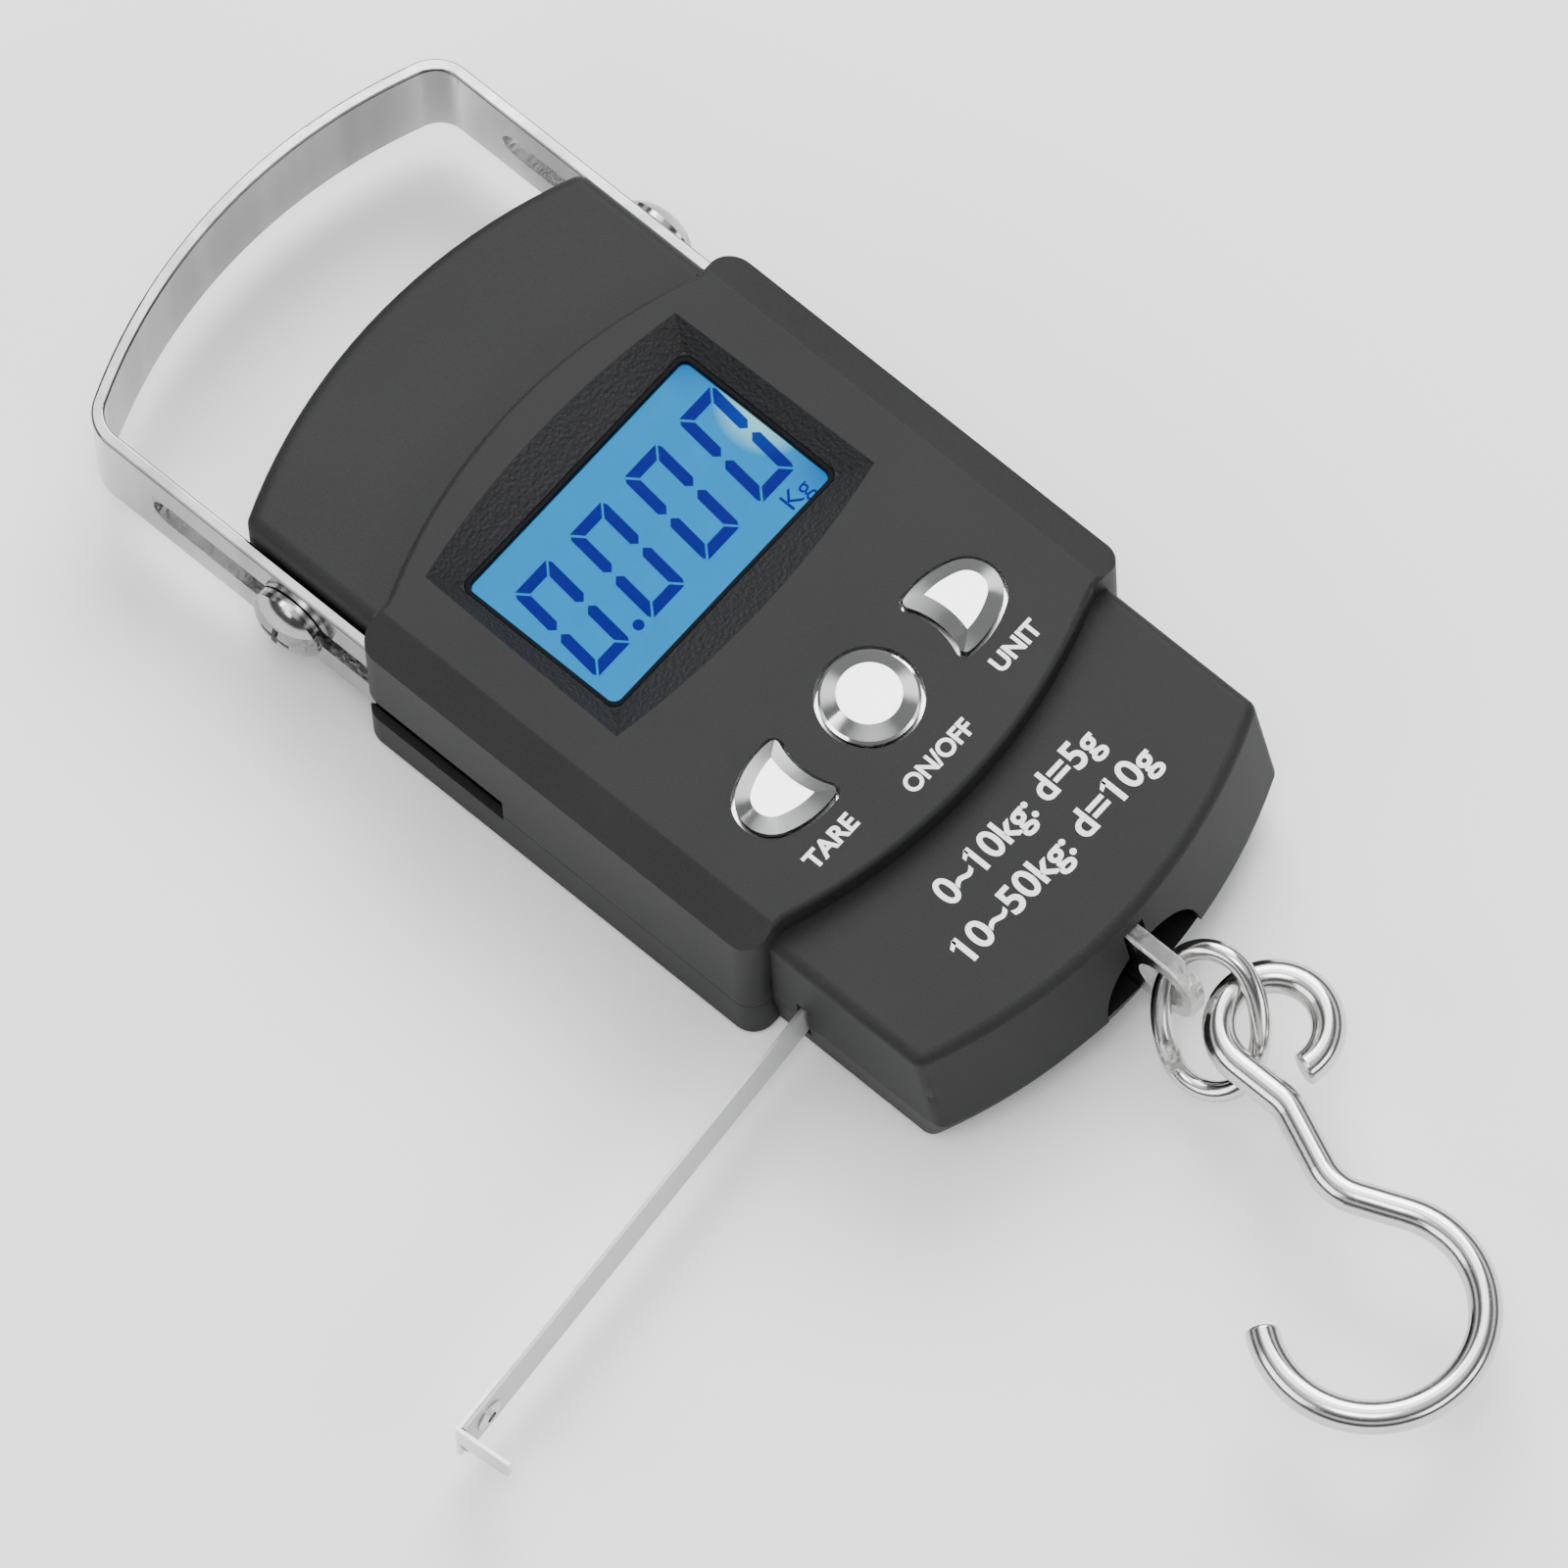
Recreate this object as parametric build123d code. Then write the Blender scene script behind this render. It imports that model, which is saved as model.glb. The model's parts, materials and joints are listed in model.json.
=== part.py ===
from build123d import *
import math
import os

# Digital hanging scale with a pull-out tape measure. Millimetres.
# Origin: middle of the flat back face. +X right, +Y towards the handle, +Z out of the front.

# --- case ---
WALL = 1.6
SEAM_Z = 8.5
MID_HALF_W = 34.0
MID_END_Y = 31.3
MID_ARC_HALF_W = 28.0
MID_UPPER_BOW = 5.6
MID_LOWER_BOW = 5.2
MID_TOP_Z = 28.0
MID_SIDE_TOP_Z = 25.6
MID_BEVEL_X = 29.3
MID_CORNER_R = 3.0
UPPER_HALF_W = 30.4
UPPER_END_Y = 52.0
UPPER_BOW = 6.4
UPPER_TOP_Z = 25.0
UPPER_CORNER_R = 2.0
LOWER_HALF_W = 30.6
LOWER_END_Y = -57.7
LOWER_BOW = 6.5
LOWER_TOP_Z = 24.0
LOWER_LEAN = 3.1
LOWER_CORNER_R = 1.8
NOTCH_X = 1.4
NOTCH_R = 8.5

# --- display ---
VIEW_W = 39.3
VIEW_H = 23.6
VIEW_Y = 14.35
VIEW_CORNER_R = 1.2
LENS_BORDER = 0.5
LENS_T = 0.8
LENS_TOP_Z = 25.6
FRAME_LOW_Z = 23.6

# --- buttons ---
BUTTON_Y = -20.5
POWER_R = 6.2
LEAF_TIP = (11.1, 5.0)
LEAF_SHOULDER = (19.5, 4.0)
LEAF_END_X = 22.0
LEAF_INNER_X = 12.4
LEAF_TIP_R = 0.8
BUTTON_GAP = 0.5
BUTTON_TOP_Z = 29.3
BUTTON_EDGE_Z = 28.35

# --- strap handle ---
STRAP_OUT_X = 32.4
STRAP_T = 1.6
STRAP_W = 15.5
STRAP_Z = 13.75
STRAP_ARCH_R = 73.8
STRAP_APEX_Y = 83.6
STRAP_END_Y = 25.0
STRAP_CORNER_R = 5.6
STRAP_EDGE_R = 0.3
SLOT_W = 5.0
SLOT_LOW_Y = 29.0
SLOT_HIGH_Y = 65.5
PIVOT_Y = 43.0

# --- board and load cell ---
BOARD_Z = 20.0
BOARD_T = 1.2
CELL_HALF_W = 6.5
CELL_LOW_Z = 13.4
CELL_T = 6.0
CELL_LOW_Y = -28.0
CELL_HIGH_Y = 47.0

# --- hanger, link and hook ---
EYE_Y = -67.1
EYE_Z = 14.0
EYE_HOLE_R = 3.6
EYE_HALF_H = 6.2
EYE_END_Y = -72.0
EYE_CORNER_R = 4.9
TAB_T = 2.4
LINK_WIRE_R = 1.3
LINK_HALF_L = 8.85
LINK_HALF_W = 6.36
LINK_END_R = 5.6
LINK_CENTRE = (-0.382, -74.079, 12.598)
LINK_LONG_DIR = (-0.5535, -0.5269, -0.6450)
LINK_NORMAL = (-0.7005, -0.1243, 0.7027)
HOOK_WIRE_R = 2.1
HOOK_EYE_R = 6.5
HOOK_EYE_X = 3.45
HOOK_EYE_Y = -80.7
HOOK_BEND_X = -7.85
HOOK_BEND_Y = -99.6
BOWL_X = -16.55
BOWL_Y = -113.3
BOWL_R = 13.3
TIP_ANGLE = 140.0

# --- tape measure ---
TAPE_ANGLE = 4.2
TAPE_W = 7.5
TAPE_LOW_Z = 4.25
TAPE_T = 0.45
TAPE_SLOT_X = -30.6
TAPE_SLOT_Y = -36.0
TAPE_OUT = 66.3
SPOOL_Y = -44.9
COIL_R = 10.6
DRUM_R = 8.0

# --- batteries ---
CELL_LEN = 44.5
CELL_R = 5.25
CELL_YS = (-20.2, -9.2)
CELL_Z = 7.45


def box_between(low, high):
    """Box given by two opposite corners."""
    size = [high[i] - low[i] for i in range(3)]
    mid = [(high[i] + low[i]) / 2 for i in range(3)]
    return Pos(*mid) * Box(*size)


def bowed_face(half_w, arc_half_w, y_low, y_high, bow_low, bow_high, corner=0.5):
    """Flat outline with straight sides, rounded corners and ends that bow outwards."""
    with BuildSketch() as outline:
        with BuildLine():
            Line((half_w, y_low), (half_w, y_high))
            if arc_half_w < half_w:
                Line((half_w, y_high), (arc_half_w, y_high))
            ThreePointArc((arc_half_w, y_high), (0, y_high + bow_high), (-arc_half_w, y_high))
            if arc_half_w < half_w:
                Line((-arc_half_w, y_high), (-half_w, y_high))
            Line((-half_w, y_high), (-half_w, y_low))
            if arc_half_w < half_w:
                Line((-half_w, y_low), (-arc_half_w, y_low))
            ThreePointArc((-arc_half_w, y_low), (0, y_low - bow_low), (arc_half_w, y_low))
            if arc_half_w < half_w:
                Line((arc_half_w, y_low), (half_w, y_low))
        make_face()
        fillet([v for v in outline.vertices() if abs(abs(v.X) - half_w) < 0.01], corner)
    return outline.sketch


def top_edges(solid):
    """Edges round the highest face."""
    return solid.edges().group_by(Axis.Z)[-1]


def middle_block(inset, low_z):
    """Raised middle band of the front, with bevelled long sides."""
    face = bowed_face(MID_HALF_W - inset, MID_ARC_HALF_W, -MID_END_Y + inset, MID_END_Y - inset,
                      MID_LOWER_BOW, MID_UPPER_BOW, MID_CORNER_R - inset)
    block = Pos(0, 0, low_z) * extrude(face, MID_TOP_Z - inset - low_z)
    edge_x = MID_HALF_W - inset
    with BuildSketch(Plane.XZ) as profile:
        with BuildLine():
            Polyline((-edge_x, low_z), (edge_x, low_z), (edge_x, MID_SIDE_TOP_Z - inset),
                     (MID_BEVEL_X - inset / 4, MID_TOP_Z - inset),
                     (-MID_BEVEL_X + inset / 4, MID_TOP_Z - inset),
                     (-edge_x, MID_SIDE_TOP_Z - inset), close=True)
        make_face()
        fillet([v for v in profile.vertices() if abs(v.Z - MID_SIDE_TOP_Z + inset) < 0.01], 0.9)
    return block & extrude(profile.sketch, 60, both=True)


def upper_block(inset, low_z):
    """Lower-lying section under the strap handle."""
    face = bowed_face(UPPER_HALF_W - inset, UPPER_HALF_W - inset, 10, UPPER_END_Y - inset, 0.01, UPPER_BOW,
                      max(UPPER_CORNER_R - inset, 0.5))
    return Pos(0, 0, low_z) * extrude(face, UPPER_TOP_Z - inset - low_z)


def lower_block(inset, low_z):
    """Section at the hook end, whose end wall leans outwards towards the seam."""
    half_w = LOWER_HALF_W - inset
    seam_y = LOWER_END_Y + inset
    corner = max(LOWER_CORNER_R - inset, 0.5)
    wide = bowed_face(half_w, half_w, seam_y, -10, LOWER_BOW, 0.01, corner)
    lean = LOWER_LEAN * (LOWER_TOP_Z - inset - low_z) / (LOWER_TOP_Z - SEAM_Z)
    slim = bowed_face(half_w, half_w, seam_y + lean, -10, LOWER_BOW, 0.01, corner)
    return loft([Pos(0, 0, low_z) * wide, Pos(0, 0, LOWER_TOP_Z - inset) * slim], ruled=True)


def notch_tool():
    """Opening in the end wall that the hanger tab leaves through."""
    bore = Pos(NOTCH_X, -60, SEAM_Z) * Rot(90, 0, 0) * Cylinder(NOTCH_R, 20)
    upper_half = box_between((-20, -75, SEAM_Z), (20, -45, 30))
    slit = box_between((-TAB_T / 2 - 0.5, -70, 7.2), (TAB_T / 2 + 0.5, -50, 21.0))
    return (bore & upper_half) + slit


def leaf_face(grow, tip_r=LEAF_TIP_R):
    """Outline of the right-hand leaf button: round outer end, hollow inner side, two tips."""
    upper = [Vector(LEAF_SHOULDER[0], LEAF_SHOULDER[1]), Vector(LEAF_TIP[0], LEAF_TIP[1])]
    lower = [Vector(p.X, -p.Y) for p in upper]
    with BuildSketch() as leaf:
        with BuildLine():
            end = ThreePointArc(upper[0], (LEAF_END_X, 0), lower[0])
            TangentArc(upper[0], upper[1], tangent=-(end % 0))
            TangentArc(lower[0], lower[1], tangent=end % 1)
            ThreePointArc(upper[1], (LEAF_INNER_X, 0), lower[1])
        make_face()
        if tip_r > 0:
            fillet([v for v in leaf.vertices() if v.X < LEAF_INNER_X], tip_r)
    face = leaf.sketch
    if grow > 0:
        face = offset(face, grow)
    return Pos(0, BUTTON_Y, 0) * face


def strap_channel():
    """Space inside the long sides where the strap arms slide, and its side windows."""
    channel = box_between((30.0, 3.0, 5.4), (32.8, 31.0, 22.1))
    channel += box_between((30.4, 30.0, 5.4), (32.8, 40.0, 22.1))
    window = box_between((32.0, 8.5, 7.2), (35.0, 31.0, 12.5))
    right = channel + window
    return right + mirror(right, about=Plane.YZ)


def tape_line(along, across=0.0, z=0.0):
    """Point on the tape's path: along is outwards from the side wall, across is to its left."""
    ang = math.radians(TAPE_ANGLE)
    x = TAPE_SLOT_X - along * math.cos(ang) + across * math.sin(ang)
    y = TAPE_SLOT_Y - along * math.sin(ang) - across * math.cos(ang)
    return (x, y, z)


def tape_slot():
    """Cut through the side wall for the tape."""
    centre = tape_line(0, 0, TAPE_LOW_Z + TAPE_W / 2)
    return Pos(*centre) * Rot(0, 0, TAPE_ANGLE) * Box(8, 1.7, TAPE_W + 1.1)


def screw_posts():
    """Places of the four case screws."""
    return [(-20, 51.3), (20, 51.3), (-24.6, -50.3), (24.6, -50.3)]


def make_front_cover():
    """Front half of the case with bezel, button holes and wall openings."""
    middle = fillet(top_edges(middle_block(0, SEAM_Z)), 0.7)
    upper = fillet(top_edges(upper_block(0, SEAM_Z)), 1.8)
    lower = fillet(top_edges(lower_block(0, SEAM_Z)), 1.4)
    cover = middle + upper + lower
    hollow = middle_block(WALL, SEAM_Z - 1) + upper_block(WALL, SEAM_Z - 1) + lower_block(WALL, SEAM_Z - 1)
    cover = cover - hollow
    # thick frame around the display and posts for the case screws
    cover += box_between((-24.6, -1.6, FRAME_LOW_Z), (24.6, 31.0, MID_TOP_Z - WALL + 0.2))
    for x, y in screw_posts():
        top = UPPER_TOP_Z - WALL + 0.2
        if y < 0:
            top = LOWER_TOP_Z - WALL + 0.2
        post = Pos(x, y, (SEAM_Z + top) / 2) * Cylinder(2.7, top - SEAM_Z)
        pilot = Pos(x, y, (SEAM_Z + 17) / 2) * Cylinder(1.25, 17 - SEAM_Z)
        cover = cover + post - pilot
    # inner walls of the strap channels
    for side in (-1, 1):
        cover += Pos(side * 29.3, 17.2, 17.0) * Box(1.0, 30.0, 17.0)
    # sloped display bezel
    rim = bezel_face(22.6, 23.3, 30.0, -1.0, 2.2, 2.2)
    seat = bezel_face(VIEW_W / 2 + LENS_BORDER, VIEW_W / 2 + LENS_BORDER,
                      VIEW_Y + VIEW_H / 2 + LENS_BORDER, VIEW_Y - VIEW_H / 2 - LENS_BORDER, 0.05, 0.05)
    cover -= loft([Pos(0, 0, LENS_TOP_Z) * seat, Pos(0, 0, MID_TOP_Z + 0.01) * rim], ruled=True)
    cover -= Pos(0, VIEW_Y, LENS_TOP_Z - LENS_T) * extrude(lens_face(0.1), LENS_T + 0.5)
    with BuildSketch() as view:
        with Locations((0, VIEW_Y)):
            RectangleRounded(VIEW_W, VIEW_H, VIEW_CORNER_R)
    cover -= Pos(0, 0, 20) * extrude(view.sketch, 6)
    # button holes
    cover -= Pos(0, BUTTON_Y, 26) * Cylinder(POWER_R + BUTTON_GAP, 12)
    hole = Pos(0, 0, 20) * extrude(leaf_face(BUTTON_GAP), 12)
    cover -= hole
    cover -= mirror(hole, about=Plane.YZ)
    # holes in the walls
    cover -= strap_channel()
    cover -= tape_slot()
    cover -= notch_tool()
    for side in (-1, 1):
        cover -= Pos(side * 30, PIVOT_Y, STRAP_Z) * Rot(0, 90, 0) * Cylinder(1.8, 6)
    return cover


def bezel_face(top_half_w, low_half_w, top_y, low_y, top_bow, low_bow):
    """Four-sided outline of the display recess with bowed top and bottom."""
    with BuildSketch() as outline:
        with BuildLine():
            Line((low_half_w, low_y), (top_half_w, top_y))
            ThreePointArc((top_half_w, top_y), (0, top_y + top_bow), (-top_half_w, top_y))
            Line((-top_half_w, top_y), (-low_half_w, low_y))
            ThreePointArc((-low_half_w, low_y), (0, low_y - low_bow), (low_half_w, low_y))
        make_face()
    return outline.sketch


def lens_face(grow):
    """Rounded outline of the clear lens."""
    width = VIEW_W + 2 * LENS_BORDER + 2 * grow
    height = VIEW_H + 2 * LENS_BORDER + 2 * grow
    return RectangleRounded(width, height, VIEW_CORNER_R + 0.2)


def make_back_cover():
    """Back half of the case with battery well, tape chamber and screw tubes."""
    mid = bowed_face(MID_HALF_W, MID_ARC_HALF_W, -MID_END_Y, MID_END_Y, MID_LOWER_BOW, MID_UPPER_BOW,
                     MID_CORNER_R)
    middle = extrude(mid, SEAM_Z)
    upper_seam = bowed_face(UPPER_HALF_W, UPPER_HALF_W, 10, UPPER_END_Y, 0.01, UPPER_BOW, UPPER_CORNER_R)
    upper_back = bowed_face(UPPER_HALF_W - 1, UPPER_HALF_W - 1, 10, UPPER_END_Y - 2, 0.01, UPPER_BOW,
                            UPPER_CORNER_R)
    upper = loft([upper_back, Pos(0, 0, SEAM_Z) * upper_seam], ruled=True)
    lower_seam = bowed_face(LOWER_HALF_W, LOWER_HALF_W, LOWER_END_Y + 0.5, -10, LOWER_BOW, 0.01,
                            LOWER_CORNER_R)
    lower_back = bowed_face(LOWER_HALF_W - 1, LOWER_HALF_W - 1, LOWER_END_Y + 2.7, -10, LOWER_BOW, 0.01,
                            LOWER_CORNER_R)
    lower = loft([lower_back, Pos(0, 0, SEAM_Z) * lower_seam], ruled=True)
    shell = middle + upper + lower
    bottom = shell.edges().group_by(Axis.Z)[0]
    shell = fillet(bottom, 0.8)
    mid_in = bowed_face(MID_HALF_W - WALL, MID_ARC_HALF_W, -MID_END_Y + WALL, MID_END_Y - WALL,
                        MID_LOWER_BOW, MID_UPPER_BOW)
    up_in = bowed_face(UPPER_HALF_W - WALL - 1, UPPER_HALF_W - WALL - 1, 10, UPPER_END_Y - WALL - 2,
                       0.01, UPPER_BOW)
    low_in = bowed_face(LOWER_HALF_W - WALL - 1, LOWER_HALF_W - WALL - 1, LOWER_END_Y + WALL + 2.7, -10,
                        LOWER_BOW, 0.01)
    for face in (mid_in, up_in, low_in):
        shell -= Pos(0, 0, WALL) * extrude(face, SEAM_Z)
    # battery well: rim wall inside, loading opening, seat for the door
    well = box_between((-26.2, -27.4, WALL - 0.2), (26.2, -2.0, 12.4))
    well -= box_between((-25.0, -26.2, 0), (25.0, -3.2, 14))
    well -= box_between((-8, -30, 11.5), (8, 0, 13))
    shell += well
    shell -= box_between((-24.6, -25.8, -1), (24.6, -3.6, 3))
    shell -= box_between((-26.2, -27.4, -1), (26.2, -2.0, 1.0))
    # ring wall around the tape spool, open on the side where the tape leaves
    ring = Pos(0, SPOOL_Y, 6.9) * (Cylinder(13.2, 10.8) - Cylinder(12.0, 12))
    ring -= box_between((-20, -39.5, 1.7), (20, -28, 14))
    shell += ring
    shell += Pos(0, SPOOL_Y, 2.2) * Cylinder(3.2, 1.6)
    for x, y in screw_posts():
        shell += Pos(x, y, (SEAM_Z + 1) / 2) * Cylinder(3.2, SEAM_Z - 1)
        shell -= Pos(x, y, 1.5) * Cylinder(2.6, 3.6)
        shell -= Pos(x, y, 5) * Cylinder(1.35, 9)
    shell -= Pos(0, SPOOL_Y, 1.8) * Cylinder(1.5, 2.4)
    for side in (-1, 1):
        shell += Pos(side * 29.3, 17.2, 5) * Box(1.0, 30.0, 7.0)
    shell -= strap_channel()
    shell -= tape_slot()
    shell -= notch_tool()
    return shell


def make_battery_door():
    """Lid of the battery well with ribbed grip and two snap lugs."""
    door = box_between((-26.0, -27.2, 0), (26.0, -2.2, 0.95))
    for row in range(5):
        y = -23.4 + 1.4 * row
        door -= box_between((-6, y, -0.1), (6, y + 0.6, 0.35))
    for x in (-16, 16):
        door += box_between((x - 3, -5.1, 0.9), (x + 3, -4.1, 2.1))
        door += box_between((x - 3, -25.4, 0.9), (x + 3, -24.4, 2.1))
    return door


def make_case_screws():
    """Four countersunk self-tapping screws from the back."""
    screws = []
    for x, y in screw_posts():
        head = Pos(x, y, 2.5) * Cylinder(2.35, 1.5)
        shank = Pos(x, y, 9.5) * Cylinder(1.2, 12.6)
        cross = Pos(x, y, 1.9) * (Box(2.6, 0.6, 0.9) + Box(0.6, 2.6, 0.9))
        screws.append(head + shank - cross)
    return Compound(children=screws)


def make_display_window():
    """Clear lens set flush in the bezel."""
    lens = Pos(0, VIEW_Y, LENS_TOP_Z - LENS_T + 0.02) * extrude(lens_face(0), LENS_T - 0.02)
    return lens


def make_lcd_panel():
    """Two glass layers, the rear one larger with the contact ledge."""
    front_face = RectangleRounded(VIEW_W - 0.3, VIEW_H - 0.3, VIEW_CORNER_R - 0.15)
    front = Pos(0, VIEW_Y, 23.4) * extrude(front_face, 1.35)
    rear = box_between((-21.5, -0.9, 22.4), (21.5, 28.2, 23.5))
    return front + rear


def make_backlight_plate():
    """Moulded light guide with its lamp block at one end."""
    guide = box_between((-21.0, 2.4, 21.25), (21.0, 28.0, 22.35))
    return guide + box_between((21.0, 12.0, 21.25), (23.4, 17.0, 22.35))


def make_contact_strip():
    """Rubber strip that joins the glass ledge to the board."""
    return box_between((-19.5, -0.6, 21.22), (19.5, 1.8, 22.38))


def make_circuit_board():
    """Main board, cut out around the screw posts."""
    board = box_between((-28.0, -30.0, BOARD_Z), (28.0, 32.0, BOARD_Z + BOARD_T))
    for x, y in ((-24, -27), (24, -27), (-25.5, 30), (25.5, 30)):
        board -= Pos(x, y, BOARD_Z) * Cylinder(1.5, 4)
    return board


def make_controller_chip():
    """Sealed controller and its crystal on the underside of the board."""
    chip = box_between((9.5, 8.0, BOARD_Z - 1.2), (20.5, 19.0, BOARD_Z))
    crystal = box_between((10.0, 22.5, BOARD_Z - 2.0), (18.0, 25.5, BOARD_Z))
    return chip + crystal


def make_button_domes():
    """Three sprung contact domes on the board."""
    domes = []
    for x in (-16.0, 0.0, 16.0):
        base = Pos(x, BUTTON_Y, BOARD_Z + BOARD_T + 0.15) * Cylinder(3.0, 0.3)
        cap = Pos(x, BUTTON_Y, BOARD_Z + BOARD_T + 0.45) * Cone(2.4, 1.4, 0.3)
        domes.append(base + cap)
    return Compound(children=domes)


def make_power_button():
    """Round cap with a sloped rim and a flat centre, on a flange and stem."""
    with BuildSketch(Plane.XZ) as half:
        with BuildLine():
            Polyline((0, 22.55), (1.6, 22.55), (1.6, 25.2), (POWER_R + 1.2, 25.2), (POWER_R + 1.2, 26.2),
                     (POWER_R, 26.2), (POWER_R, BUTTON_EDGE_Z - 0.25), (POWER_R - 0.35, BUTTON_EDGE_Z),
                     (POWER_R - 2.2, BUTTON_TOP_Z), (0, BUTTON_TOP_Z), close=True)
        make_face()
    return Pos(0, BUTTON_Y, 0) * revolve(half.sketch, Axis.Z)


def make_leaf_button(side):
    """Leaf-shaped cap with a sloped rim, on a flange and stem."""
    cap = Pos(0, 0, 25.2) * extrude(leaf_face(0, 0), BUTTON_TOP_Z - 25.2)
    cap = chamfer(top_edges(cap), 0.9, 1.9)
    cap = cap & (Pos(0, 0, 25) * extrude(leaf_face(0), 6))
    flange = Pos(0, 0, 25.2) * extrude(leaf_face(1.0), 1.0)
    stem = Pos(16.0, BUTTON_Y, 23.9) * Cylinder(1.6, 2.7)
    button = cap + flange + stem
    if side < 0:
        button = mirror(button, about=Plane.YZ)
    return button


def make_load_cell():
    """Aluminium bending beam with a waisted double hole and a forked free end."""
    beam = box_between((-CELL_HALF_W, CELL_LOW_Y, CELL_LOW_Z),
                       (CELL_HALF_W, CELL_HIGH_Y, CELL_LOW_Z + CELL_T))
    mid_z = CELL_LOW_Z + CELL_T / 2
    for y in (4.0, 14.0):
        beam -= Pos(0, y, mid_z) * Rot(0, 90, 0) * Cylinder(2.1, 20)
    beam -= box_between((-10, 4.0, mid_z - 0.6), (10, 14.0, mid_z + 0.6))
    beam -= box_between((-TAB_T / 2 - 0.05, -29, 12), (TAB_T / 2 + 0.05, -17.5, 21))
    beam -= Pos(0, -23, mid_z) * Rot(0, 90, 0) * Cylinder(1.55, 20)
    for y in (40.0, 45.0):
        beam -= Pos(0, y, mid_z) * Cylinder(1.6, 10)
    return beam


def make_strain_gauges():
    """Foil gauges under a sealing coat, on both faces of the beam."""
    gauges = []
    for z in (CELL_LOW_Z - 0.2, CELL_LOW_Z + CELL_T + 0.2):
        gauges.append(Pos(0, 9, z) * Box(6, 9, 0.38))
    return Compound(children=gauges)


def make_signal_wires():
    """Four short wires from the upper gauge to the board."""
    wires = []
    for i in range(4):
        x = -9.5 - 1.1 * i
        path = ThreePointArc((-3.2, 7.5 + i, 19.55), (-6.8, 8.4 + i, 19.62), (x, 10 + i, 19.15))
        section = Plane(origin=path @ 0, z_dir=path % 0) * Circle(0.17)
        wires.append(sweep(section, path=path))
    return Compound(children=wires)


def make_load_cell_screws():
    """Two cap screws that hold the beam on the bracket."""
    screws = []
    for y in (40.0, 45.0):
        shank = Pos(0, y, 15.9) * Cylinder(1.55, 8.4)
        head = Pos(0, y, 20.4) * Cylinder(2.3, 1.9)
        socket = Pos(0, y, 21.0) * extrude(RegularPolygon(1.2, 6), 1)
        screws.append(shank + head - socket)
    return Compound(children=screws)


def make_handle_bracket():
    """Folded steel bar across the case that takes the strap screws and the beam."""
    bar = box_between((-28.6, 38.2, 11.75), (28.6, 47.6, 13.35))
    for side in (-1, 1):
        lug = box_between((27.0, 38.2, 8.9), (28.6, 47.6, 18.6))
        if side < 0:
            lug = mirror(lug, about=Plane.YZ)
        bar += lug
    for side in (-1, 1):
        bar -= Pos(side * 28, PIVOT_Y, STRAP_Z) * Rot(0, 90, 0) * Cylinder(1.75, 6)
    for y in (40.0, 45.0):
        bar -= Pos(0, y, 12.5) * Cylinder(1.6, 6)
    for x in (-16, 16):
        bar -= Pos(x, PIVOT_Y, 12.5) * Cylinder(2.5, 6)
    return bar


def make_handle_strap():
    """Bent steel strap: two slotted arms joined by an arched grip."""
    arch_y = STRAP_APEX_Y - STRAP_ARCH_R
    faces = []
    for inset in (0, STRAP_T):
        half_w = STRAP_OUT_X - inset
        radius = STRAP_ARCH_R - inset
        corner_r = STRAP_CORNER_R - inset
        low = STRAP_END_Y - inset
        side_y = arch_y + math.sqrt(radius ** 2 - half_w ** 2)
        with BuildSketch() as outline:
            with BuildLine():
                Polyline((-half_w, side_y), (-half_w, low), (half_w, low), (half_w, side_y))
                ThreePointArc((half_w, side_y), (0, arch_y + radius), (-half_w, side_y))
            make_face()
            fillet(outline.vertices().group_by(Axis.Y)[-1], corner_r)
        faces.append(outline.sketch)
    strap = Pos(0, 0, STRAP_Z - STRAP_W / 2) * extrude(faces[0] - faces[1], STRAP_W)
    levels = strap.edges().group_by(Axis.Z)
    strap = fillet(levels[0] + levels[-1], STRAP_EDGE_R)
    slot_len = SLOT_HIGH_Y - SLOT_LOW_Y
    slot_y = (SLOT_HIGH_Y + SLOT_LOW_Y) / 2
    slot_at = Pos(0, slot_y, STRAP_Z) * Rot(0, 90, 0) * Rot(0, 0, 90)
    slot = slot_at * extrude(SlotOverall(slot_len, SLOT_W), 40, both=True)
    strap -= slot
    # rounded corners at the free ends of the arms
    low_end = box_between((-40, STRAP_END_Y - 1, 0), (40, STRAP_END_Y + 4, 30))
    keep_at = Pos(0, STRAP_END_Y + 10, STRAP_Z) * Rot(0, 90, 0)
    keep = keep_at * extrude(RectangleRounded(STRAP_W, 20, 3.5), 40, both=True)
    strap -= low_end - keep
    return strap


def make_handle_screws():
    """Domed cross-head shoulder screws that the strap slides on."""
    screws = []
    for side in (-1, 1):
        with BuildSketch(Plane.XZ) as half:
            with BuildLine():
                Polyline((0, 27.05), (1.7, 27.05), (1.7, 30.45), (2.2, 30.45), (2.2, 33.2), (5.2, 33.2),
                         (5.2, 33.9))
                ThreePointArc((5.2, 33.9), (3.4, 35.35), (0, 35.9))
                Line((0, 35.9), (0, 27.05))
            make_face()
        body = revolve(half.sketch, Axis.Z)
        cross = Pos(0, 0, 35.6) * (Box(4.4, 0.9, 1.9) + Box(0.9, 4.4, 1.9))
        body -= cross
        screws.append(Pos(0, PIVOT_Y, STRAP_Z) * Rot(0, 90 * side, 0) * Rot(0, 0, 20 + 25 * side) * body)
    return Compound(children=screws)


def make_handle_washers():
    """Thin flat washers between screw head and strap."""
    washers = []
    for side in (-1, 1):
        ring = Cylinder(5.0, 0.6) - Cylinder(2.25, 2)
        washers.append(Pos(side * 32.85, PIVOT_Y, STRAP_Z) * Rot(0, 90, 0) * ring)
    return Compound(children=washers)


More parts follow.
